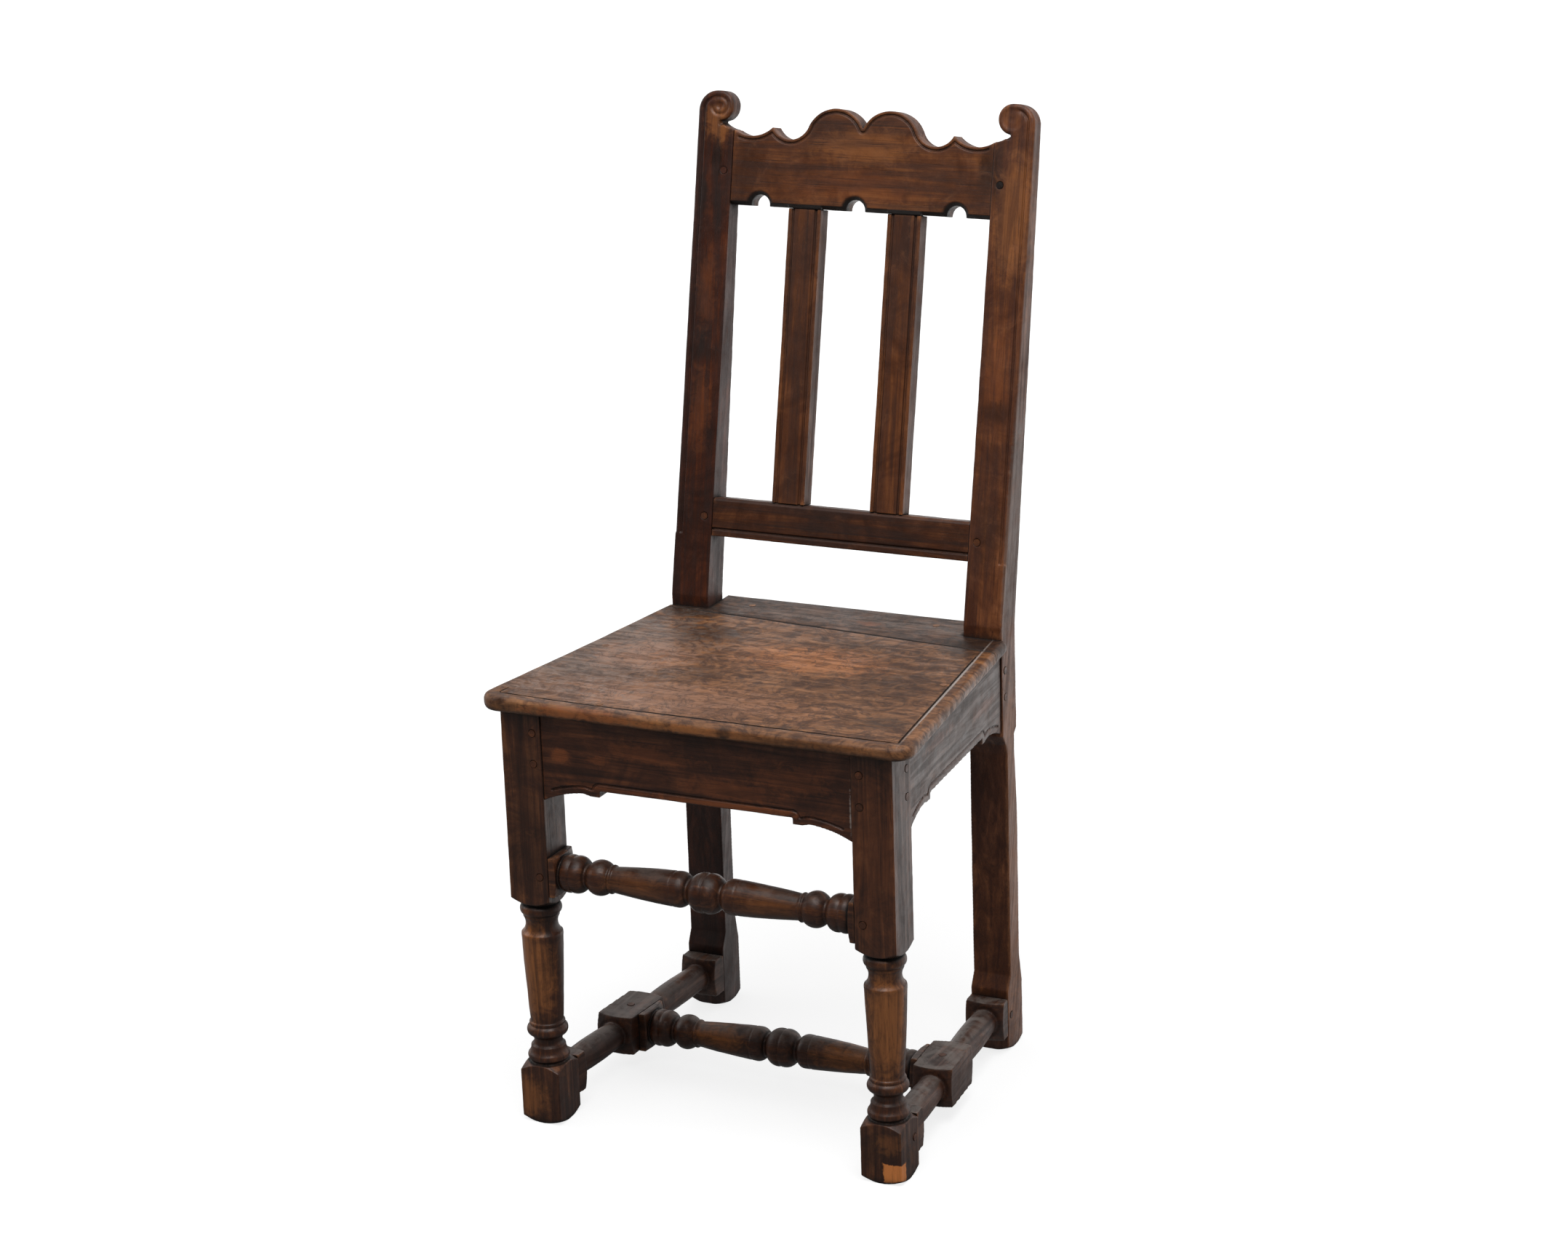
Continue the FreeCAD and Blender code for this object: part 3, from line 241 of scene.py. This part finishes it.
class Nodes:
    """A short hand for building the node tree of a material or a world."""

    def __init__(self, owner):
        owner.use_nodes = True
        self.owner = owner
        self.tree = owner.node_tree
        self.tree.nodes.clear()

    def plug(self, socket, value):
        """Join a socket to another one, or set it to a value."""
        if isinstance(value, bpy.types.NodeSocket):
            self.tree.links.new(value, socket)
        else:
            socket.default_value = value

    def add(self, kind, values=None, **settings):
        """A new node with its inputs plugged and its settings made."""
        node = self.tree.nodes.new(kind)
        for key, value in settings.items():
            setattr(node, key, value)
        for key, value in (values or {}).items():
            self.plug(node.inputs[key], value)
        return node

    def mapping(self, vector, place=(0, 0, 0), turn=(0, 0, 0), scale=(1, 1, 1)):
        return self.add("ShaderNodeMapping", {
            "Vector": vector, "Location": place, "Rotation": turn, "Scale": scale}).outputs[0]

    def noise(self, vector, scale, detail=4.0, roughness=0.55, distortion=0.0):
        return self.add("ShaderNodeTexNoise", {
            "Vector": vector, "Scale": scale, "Detail": detail,
            "Roughness": roughness, "Distortion": distortion}).outputs["Fac"]

    def spread(self, value, low, high, out_low=0.0, out_high=1.0):
        """The value's way from low to high as a smooth way between the two outer values."""
        return self.add("ShaderNodeMapRange", {
            "Value": value, "From Min": low, "From Max": high,
            "To Min": out_low, "To Max": out_high}, interpolation_type="SMOOTHSTEP").outputs[0]

    def maths(self, operation, first, second=0.5):
        return self.add("ShaderNodeMath", {0: first, 1: second}, operation=operation).outputs[0]

    def blend(self, share, first, second):
        """The first colour with a share of the second over it."""
        node = self.add("ShaderNodeMix", data_type="RGBA")
        for index, value in ((0, share), (6, first), (7, second)):
            self.plug(node.inputs[index], value)
        return node.outputs[2]

    def material(self, shader):
        """The material whose surface is the shader."""
        self.add("ShaderNodeOutputMaterial", {"Surface": shader})
        return self.owner


def paint(colour, strength=1.0):
    """A colour as a socket takes it, darker or lighter by its strength."""
    return tuple(strength * part for part in colour) + (1.0,)


def along_grain(n, here, grain, share):
    """Coordinates that pass slowly along the grain's axis."""
    return n.mapping(here, scale=[share if axis == grain else 1.0 for axis in "XYZ"])


def marked(n, here, ragged, streaks, colour, marks):
    """Lay the local marks over the wood's colour, broken by its grain."""
    for centre, radii, mark_colour, strength, raggedness, square, turn in marks:
        place = Matrix.Rotation(-turn, 3, "Z") @ Vector(centre)
        centred = n.mapping(here, place=-place, turn=(0.0, 0.0, -turn))
        local = n.mapping(centred, scale=tuple(1.0 / radius for radius in radii))
        if square:
            parts = n.add("ShaderNodeSeparateXYZ", {0: local})
            reach = n.maths("ABSOLUTE", parts.outputs[0])
            for index in (1, 2):
                reach = n.maths("MAXIMUM", reach, n.maths("ABSOLUTE", parts.outputs[index]))
        else:
            reach = n.add("ShaderNodeVectorMath", {0: local}, operation="LENGTH").outputs["Value"]
        reach = n.maths("ADD", reach, n.maths("MULTIPLY", n.maths("SUBTRACT", ragged), raggedness * 3.0))
        inside = n.spread(reach, 1.05, 0.95 if square else 0.35, 0.0, strength)
        if not square:
            inside = n.maths("MULTIPLY", inside, streaks)
        colour = n.blend(inside, colour, paint(mark_colour))
    return colour


def waxed_walnut(name, grain, leans, offset, colours, wear=0.6, grime=0.85, gloss=0.33, stains=0.45,
                 figure_strength=0.4, figure_scale=13.0, run=0.05, crisp=0.0, burr=0.0, dust=0.0, marks=(),
                 over=()):
    """Old waxed walnut: long grain, pores, stains, grime and painted shade in the recesses, painted shade
    underneath and rubbed edges.
    """
    deep, middle, worn = colours
    n = Nodes(bpy.data.materials.new(name))
    raw = n.add("ShaderNodeTexCoord").outputs["Object"]
    here = n.mapping(raw, place=(offset, offset * 0.7, offset * 0.3),
                     turn=(RAKE if leans else 0.0, 0.0, 0.0))
    along = along_grain(n, here, grain, run)
    longer = along_grain(n, here, grain, run * 0.4)

    # Noises by scale, detail, roughness and distortion
    streak = n.noise(along, 85.0, 7.0, 0.62, 1.2)
    fibre = n.noise(longer, 520.0, 4.0, 0.7)
    figure = n.noise(here, figure_scale, 7.0, 0.68, 2.2)
    stain = n.noise(here, 6.5, 5.0, 0.62, 0.8)
    pore = n.noise(longer, 1100.0, 2.0, 0.5)
    smear = n.noise(here, 42.0, 6.0, 0.72, 0.5)
    ragged = n.noise(here, 75.0, 5.0, 0.7, 1.0)

    # The wood itself, with its stains, local marks, fibres and pores
    tone = n.maths("ADD", n.maths("MULTIPLY", streak, 1.0 - figure_strength),
                   n.maths("MULTIPLY", figure, figure_strength))
    colour = n.blend(n.spread(tone, 0.36 + crisp, 0.62 - crisp), paint(deep), paint(middle))
    light = n.maths("MULTIPLY", n.spread(streak, 0.48, 0.72), n.spread(figure, 0.40, 0.64))
    colour = n.blend(n.maths("MULTIPLY", light, 0.65), colour, paint(worn))
    colour = n.blend(n.spread(stain, 0.30, 0.56, stains, 0.0), colour, paint(deep, 0.6))
    streaks = n.spread(streak, 0.36, 0.60, 0.45, 1.0)
    colour = marked(n, raw, ragged, streaks, colour, marks)
    dark_fibre = n.spread(fibre, 0.54, 0.70, 0.0, 0.45)
    colour = n.blend(dark_fibre, colour, paint(deep, 0.6))
    pores = n.spread(pore, 0.60, 0.72, 0.0, 0.55)
    colour = n.blend(pores, colour, paint(deep, 0.3))
    colour = n.blend(n.spread(smear, 0.56, 0.78, 0.0, 0.25), colour, paint(worn, 1.1))
    normal = n.add("ShaderNodeNewGeometry").outputs["Normal"]
    upward = n.add("ShaderNodeSeparateXYZ", {0: normal}).outputs[2]
    if burr:
        curl = n.noise(here, 34.0, 3.0, 0.60, 3.0)
        vein = n.spread(n.maths("ABSOLUTE", n.maths("SUBTRACT", curl)), 0.070, 0.0)
        vein = n.maths("MULTIPLY", vein, n.spread(figure, 0.60, 0.44))
        vein = n.maths("MULTIPLY", vein, n.spread(upward, 0.85, 0.99))
        colour = n.blend(n.maths("MULTIPLY", vein, burr), colour, paint(deep, 0.5))

    # Arrises rubbed lighter
    inner = n.add("ShaderNodeAmbientOcclusion", {"Distance": 6 * MM}, inside=True, samples=8)
    edge = n.spread(inner.outputs["AO"], 0.70, 0.26)
    broken = n.spread(n.noise(here, 55.0, 5.0, 0.7), 0.34, 0.60)
    edge = n.maths("MULTIPLY", n.maths("MULTIPLY", edge, broken), wear)
    colour = n.blend(edge, colour, paint(worn, 1.25))

    # Grime and painted shade in the recesses, painted shade underneath, dust on top
    # Painted shade, partly real grime: surfaces in recesses are darkened towards the soot colour
    outer = n.add("ShaderNodeAmbientOcclusion", {"Distance": 14 * MM}, samples=8)
    recess_grime_and_shade = n.spread(outer.outputs["AO"], 0.84, 0.40, 0.0, grime)
    colour = n.blend(recess_grime_and_shade, colour, paint(SOOT_AND_SHADE, 0.8))
    # Painted shade: faces that look down are darkened towards the soot colour
    colour = n.blend(n.spread(upward, -0.25, -0.75, 0.0, 0.6), colour, paint(SOOT_AND_SHADE))
    if dust:
        settled_dust = n.maths("MULTIPLY", n.spread(upward, 0.55, 0.95), n.spread(smear, 0.34, 0.62))
        colour = n.blend(n.maths("MULTIPLY", settled_dust, dust), colour, paint(DUST_AND_SHEEN))
    colour = marked(n, raw, ragged, 1.0, colour, over)

    # Wax, duller in grime and in the open grain
    rough = n.spread(stain, 0.25, 0.75, gloss + 0.12, gloss - 0.04)
    rough = n.maths("ADD", rough, n.maths("MULTIPLY", recess_grime_and_shade, 0.25))
    rough = n.maths("ADD", rough, n.spread(smear, 0.40, 0.70, 0.0, 0.10))
    rough = n.maths("ADD", rough, n.spread(streak, 0.62, 0.40, 0.0, 0.14))

    height = n.maths("ADD", n.maths("MULTIPLY", fibre, 0.25), n.maths("MULTIPLY", streak, 0.35))
    height = n.maths("SUBTRACT", height, n.maths("MULTIPLY", pores, 0.45))
    height = n.maths("ADD", height, n.maths("MULTIPLY", smear, 0.9))
    bump = n.add("ShaderNodeBump", {"Strength": 0.45, "Distance": 0.5 * MM, "Height": height})
    wood = n.add("ShaderNodeBsdfPrincipled", {
        "Base Color": colour, "Roughness": rough, "Normal": bump.outputs[0], "IOR": 1.4})
    return n.material(wood.outputs[0])


def copy_of(node):
    """The node's mesh as a new piece, with its loose triangles joined."""
    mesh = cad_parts[node].data.copy()
    mesh.materials.clear()
    shape = bmesh.new()
    shape.from_mesh(mesh)
    bmesh.ops.remove_doubles(shape, verts=shape.verts, dist=0.01 * MM)
    shape.to_mesh(mesh)
    shape.free()
    piece = bpy.data.objects.new(node + "_worn", mesh)
    bpy.context.scene.collection.objects.link(piece)
    return piece


def settled(piece):
    """Apply the piece's modifiers, so that what is kept is one plain mesh."""
    graph = bpy.context.evaluated_depsgraph_get()
    graph.update()
    mesh = bpy.data.meshes.new_from_object(piece.evaluated_get(graph))
    old = piece.data
    piece.modifiers.clear()
    piece.data = mesh
    bpy.data.meshes.remove(old)


def unevenness(name, size):
    """A cloud pattern by which a surface waves, with its size in metres."""
    texture = bpy.data.textures.new(name, "CLOUDS")
    texture.noise_scale = size
    texture.noise_depth = 2
    return texture


SLOW_WAVE = unevenness("slow_wave", 0.055)
SMALL_DENTS = unevenness("small_dents", 0.010)


def kept_inside(piece):
    """Wear takes wood away, so no point stands outside the chair's own box or under its feet."""
    low, high = CAD_BOX
    for vert in piece.data.vertices:
        vert.co = [min(max(part, least), most) for part, least, most in zip(vert.co, low, high)]


def rubbed(piece, wave, dents):
    """Surfaces slightly uneven and dented by long use."""
    for name, texture, strength in (("wave", SLOW_WAVE, wave), ("dents", SMALL_DENTS, dents)):
        displace = piece.modifiers.new(name, "DISPLACE")
        displace.texture = texture
        displace.texture_coords = "LOCAL"
        displace.strength = strength * MM
        displace.mid_level = WORN_LEVEL


def worn_scroll(shape, side, rubs):
    """The left ear's carving is a little rubbed, the right ear's nearly rubbed away."""
    eye_x = side * (max(side * vert.co.x for vert in shape.verts) - EAR_EYE[0])
    eye_z = max(vert.co.z for vert in shape.verts) - EAR_EYE[1]
    front = min(vert.co.y for vert in shape.verts if vert.co.z > eye_z)
    carved = [vert for vert in shape.verts if vert.co.y < front + EAR_DEPTH
              and math.hypot(vert.co.x - eye_x, vert.co.z - eye_z) < EAR_WORN]
    for rub in range(rubs):
        bmesh.ops.smooth_vert(shape, verts=carved, factor=0.5, use_axis_x=True, use_axis_y=True,
                              use_axis_z=True)


def handled(piece, voxel, leans, most):
    """Arrises worn round by centuries of hands and shoes, in at most so many thousand triangles."""
    piece.data.transform(Matrix.Rotation(RAKE if leans else 0.0, 4, "X"))
    remesh = piece.modifiers.new("solid_wood", "REMESH")
    remesh.mode = "VOXEL"
    remesh.voxel_size = voxel * MM
    remesh.adaptivity = 0.0
    rounding = piece.modifiers.new("worn_edges", "SMOOTH")
    rounding.factor = 0.5
    rounding.iterations = 2
    rubbed(piece, *FRAME_WEAR)
    settled(piece)
    if piece.name in EAR_RUBS:
        shape = bmesh.new()
        shape.from_mesh(piece.data)
        worn_scroll(shape, *EAR_RUBS[piece.name])
        shape.to_mesh(piece.data)
        shape.free()
    triangles = 2.0 * len(piece.data.polygons)
    thinning = piece.modifiers.new("fewer_faces", "DECIMATE")
    thinning.ratio = min(1.0, most * 1000 / triangles)
    settled(piece)
    piece.data.transform(Matrix.Rotation(-RAKE if leans else 0.0, 4, "X"))
    kept_inside(piece)
    piece.data.shade_smooth()
    return piece


def planed_board(piece):
    """A thin board cut by hand planes: fine mesh, slight waves, one corner a little raised."""
    shape = bmesh.new()
    shape.from_mesh(piece.data)
    low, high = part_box(piece.name.replace("_worn", ""))
    (left, left_y), (right, right_y) = SEAM_ENDS
    run = Vector((right - left, right_y - left_y, 0.0)).normalized()
    across = Vector((-run.y, run.x, 0.0))
    seam = Vector((left, left_y, 0.0))
    cuts = [(seam + across * side * SEAM_WORN * share, across) for side in (-1, 1) for share in (0.5, 1.0)]
    for axis in (0, 1):
        normal = Vector((1.0 - axis, float(axis), 0.0))
        for index in range(1, int((high[axis] - low[axis]) / BOARD_CELL)):
            cuts.append((normal * (low[axis] + index * BOARD_CELL), normal))
    for place, normal in cuts:
        bmesh.ops.bisect_plane(shape, geom=shape.verts[:] + shape.edges[:] + shape.faces[:],
                               dist=0.001 * MM, plane_co=place, plane_no=normal)
    for vert in shape.verts:
        leftward = min(max((CORNER_START[0] - vert.co.x) / CORNER_REACH[0], 0.0), 1.0)
        forward = min(max((CORNER_START[1] - vert.co.y) / CORNER_REACH[1], 0.0), 1.0)
        height = (vert.co.z - low[2]) / (high[2] - low[2])
        vert.co.z += CORNER_RAISE * leftward * leftward * forward * height
        worn = 1.0 - min(abs((vert.co - seam).dot(across)) / SEAM_WORN, 1.0)
        vert.co.z -= SEAM_DROP * worn * worn * (1.0 if height > 0.9 else 0.0)
    bmesh.ops.triangulate(shape, faces=shape.faces[:])
    shape.to_mesh(piece.data)
    shape.free()
    rubbed(piece, *BOARD_WEAR)
    settled(piece)
    kept_inside(piece)
    piece.data.shade_smooth()
    piece.data.set_sharp_from_angle(angle=CRISP_ANGLE)
    return piece


# Wax that many hands and shoes have polished on the turned pieces, and stronger grime and painted shade in
# their recesses
POLISHED_AND_SHADED = dict(grime=1.35, gloss=0.27)

# Each node's slot, voxel in mm, most thousands of triangles, grain's axis, whether it leans, where
# its wood begins in the noise, its colours, and what else differs from plain waxed walnut
WOOD = {
    "rear_post_left": ("back_frame", 0.9, 180, "Z", True, 0.31, LEFT_POST_WOOD,
                       dict(marks=LEFT_POST_MARKS, stains=0.6)),
    "rear_post_right": ("back_frame", 0.9, 180, "Z", True, 1.07, RIGHT_POST_WOOD,
                        dict(wear=0.75, marks=RIGHT_POST_MARKS)),
    "crest_rail": ("back_frame", 0.8, 170, "X", True, 2.13, BACK_WOOD,
                   dict(marks=CREST_MARKS, over=CREST_BEVEL_SHADE)),
    "lower_back_rail": ("back_frame", 0.8, 90, "X", True, 3.41, LOWER_RAIL_WOOD, dict(stains=0.5)),
    "muntin_left": ("back_frame", 0.8, 90, "Z", True, 4.37, BACK_WOOD, dict(wear=0.7, stains=0.55)),
    "muntin_right": ("back_frame", 0.8, 90, "Z", True, 5.23, BACK_WOOD, dict(wear=0.8, stains=0.5)),
    "front_leg_left": ("turned", 0.9, 150, "Z", False, 6.11, LEG_WOOD,
                       dict(POLISHED_AND_SHADED, wear=0.8, marks=TURNED_WEAR_AND_HIGHLIGHT)),
    "front_leg_right": ("turned", 0.9, 150, "Z", False, 7.05, LEG_WOOD,
                        dict(POLISHED_AND_SHADED, wear=0.8, marks=RIGHT_LEG_MARKS)),
    "front_seat_rail": ("rails", 0.9, 120, "X", False, 8.19, RAIL_WOOD,
                        dict(wear=0.7, marks=FRONT_RAIL_MARKS)),
    "side_seat_rail_left": ("rails", 1.0, 90, "Y", False, 9.07, RAIL_WOOD, {}),
    "side_seat_rail_right": ("rails", 1.0, 90, "Y", False, 10.3, RAIL_WOOD,
                             dict(marks=SIDE_RAIL_MARKS)),
    "back_seat_rail": ("rails", 1.3, 40, "X", False, 11.2, RAIL_WOOD, {}),
    "front_stretcher": ("turned", 0.8, 120, "X", False, 12.4, LEG_WOOD,
                        dict(POLISHED_AND_SHADED, wear=0.8, dust=0.4, marks=BARREL_PAINTED_LIGHT)),
    "cross_stretcher": ("turned", 0.8, 100, "X", False, 13.1, LEG_WOOD,
                        dict(POLISHED_AND_SHADED, wear=0.9, dust=0.4, marks=BARREL_PAINTED_LIGHT)),
    "side_stretcher_left": ("turned", 1.0, 90, "Y", False, 14.6, LEG_WOOD, dict(wear=0.8, dust=0.6)),
    "side_stretcher_right": ("turned", 1.0, 90, "Y", False, 15.2, LEG_WOOD, dict(wear=1.0, dust=0.8)),
}


def dress_frame():
    """Worn copies of the frame's pieces, each in its own wood."""
    for node, (slot, voxel, most, grain, leans, offset, colours, values) in WOOD.items():
        piece = handled(copy_of(node), voxel, leans, most)
        piece.data.materials.clear()
        piece.data.materials.append(waxed_walnut(node + "_walnut", grain, leans, offset, colours, **values))
        finished(piece, node)


def dress_seat():
    """Worn copies of the seat's boards, in burr wood."""
    for node, offset, colours in (("seat_board_front", 16.3, SEAT_WOOD),
                                  ("seat_board_back", 17.7, BACK_BOARD_WOOD)):
        piece = planed_board(copy_of(node))
        piece.data.materials.clear()
        piece.data.materials.append(waxed_walnut(
            node + "_walnut", "X", False, offset, colours, wear=0.7, gloss=0.34, stains=0.6,
            figure_strength=0.55, figure_scale=34.0, run=0.20, crisp=0.05, burr=0.6,
            marks=SEAT_MARKS, over=SEAT_GROOVE_SHADING_AND_SEAM))
        finished(piece, node)


# Pegs whose wood or marks differ from the rails'
PEG_WOOD = {
    "crest_pegs": (SOOT_AND_SHADE, SOOT_AND_SHADE, RAIL_WOOD[0]),
    "lower_back_rail_pegs": LOWER_RAIL_WOOD,
    "seat_pegs": SEAT_WOOD,
}
PEG_MARKS = {"crest_pegs": [
    Mark((-0.165, 0.200, 0.955), (0.030, 0.05, 0.030), LEFT_POST_WOOD[1], 1.0, 0.0, square=True)]}


def dress_pegs():
    """The pegs keep their own shapes and show dark end grain."""
    for node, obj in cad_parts.items():
        if node.endswith("_pegs"):
            colours = PEG_WOOD.get(node, RAIL_WOOD)
            obj.data.materials.clear()
            obj.data.materials.append(waxed_walnut(
                node + "_end_grain", "Y", False, 18.5, colours, wear=0.2, grime=0.3,
                marks=PEG_MARKS.get(node, ())))


def lay_floor():
    """A white sweep that keeps a soft shadow, and that gloss sees bright behind the chair only."""
    shape = bmesh.new()
    bmesh.ops.create_grid(shape, x_segments=2, y_segments=2, size=30.0)
    mesh = bpy.data.meshes.new("studio_floor")
    shape.to_mesh(mesh)
    shape.free()
    floor = bpy.data.objects.new("studio_floor", mesh)
    bpy.context.scene.collection.objects.link(floor)
    n = Nodes(bpy.data.materials.new("pale_floor"))
    here = n.add("ShaderNodeTexCoord").outputs["Object"]
    path = n.add("ShaderNodeLightPath")
    distance = n.add("ShaderNodeVectorMath", {0: here}, operation="LENGTH").outputs["Value"]
    behind = n.add("ShaderNodeSeparateXYZ", {0: here}).outputs[1]
    seen = n.maths("MULTIPLY", path.outputs["Is Camera Ray"], n.spread(distance, 0.7, 2.2, 0.80, 1.0))
    mirrored = n.maths("MULTIPLY", path.outputs["Is Glossy Ray"], n.spread(behind, -0.3, 0.7, 0.0, 1.0))
    matt = n.add("ShaderNodeBsdfDiffuse", {"Color": (0.24, 0.24, 0.24, 1.0)})
    glow = n.add("ShaderNodeEmission", {"Strength": n.maths("ADD", seen, mirrored)})
    both = n.add("ShaderNodeAddShader", {0: matt.outputs[0], 1: glow.outputs[0]})
    mesh.materials.append(n.material(both.outputs[0]))


def soft_box(name, place, aim, size, watts):
    """A square lamp that looks at a point."""
    lamp = bpy.data.lights.new(name, "AREA")
    lamp.shape = "SQUARE"
    lamp.size = size
    lamp.energy = watts
    obj = bpy.data.objects.new(name, lamp)
    obj.location = place
    obj.rotation_euler = (Vector(aim) - Vector(place)).to_track_quat("-Z", "Y").to_euler()
    bpy.context.scene.collection.objects.link(obj)


def light_studio():
    """A white world that gloss sees bright behind the chair and dim in front, and two soft lamps."""
    world = bpy.data.worlds.new("studio")
    bpy.context.scene.world = world
    n = Nodes(world)
    direction = n.add("ShaderNodeTexCoord").outputs["Generated"]
    parts = n.add("ShaderNodeSeparateXYZ", {0: direction})
    behind = n.spread(parts.outputs[1], -0.35, 0.75, 0.11, 0.75)
    behind = n.maths("MULTIPLY", behind, n.spread(parts.outputs[0], -0.25, 0.20, 1.0, 1.33))
    overhead = n.spread(parts.outputs[2], 0.35, 0.95, 0.0, 0.30)
    soft = n.add("ShaderNodeBackground", {"Strength": n.maths("ADD", behind, overhead)})
    white = n.add("ShaderNodeBackground", {"Strength": 1.0})
    for shade in (soft, white):
        shade.inputs["Color"].default_value = (1.0, 1.0, 1.0, 1.0)
    seen = n.add("ShaderNodeLightPath").outputs["Is Camera Ray"]
    mix = n.add("ShaderNodeMixShader", {0: seen, 1: soft.outputs[0], 2: white.outputs[0]})
    n.add("ShaderNodeOutputWorld", {"Surface": mix.outputs[0]})
    middle = (0, 0, 0.5)
    soft_box("overhead_light", place=(0.5, -1.1, 3.1), aim=middle, size=2.2, watts=78)
    soft_box("left_light", place=(-2.8, -0.4, 1.6), aim=middle, size=1.6, watts=18)


def place_camera():
    """The photograph's view of the chair."""
    data = bpy.data.cameras.new("camera")
    data.sensor_width = SENSOR_WIDTH
    data.lens = SENSOR_WIDTH * FOCAL_PIXELS / IMAGE_WIDTH
    camera = bpy.data.objects.new("camera", data)
    camera.matrix_world = (
        Matrix.Translation(CAMERA_PLACE)
        @ Matrix.Rotation(CAMERA_TURN, 4, "Z")
        @ Matrix.Rotation(math.pi / 2 + CAMERA_TILT, 4, "X")
        @ Matrix.Rotation(CAMERA_ROLL, 4, "Z"))
    bpy.context.scene.collection.objects.link(camera)
    bpy.context.scene.camera = camera


bpy.context.scene.view_settings.view_transform = "Standard"
place_camera()
light_studio()
lay_floor()
dress_frame()
dress_seat()
dress_pegs()
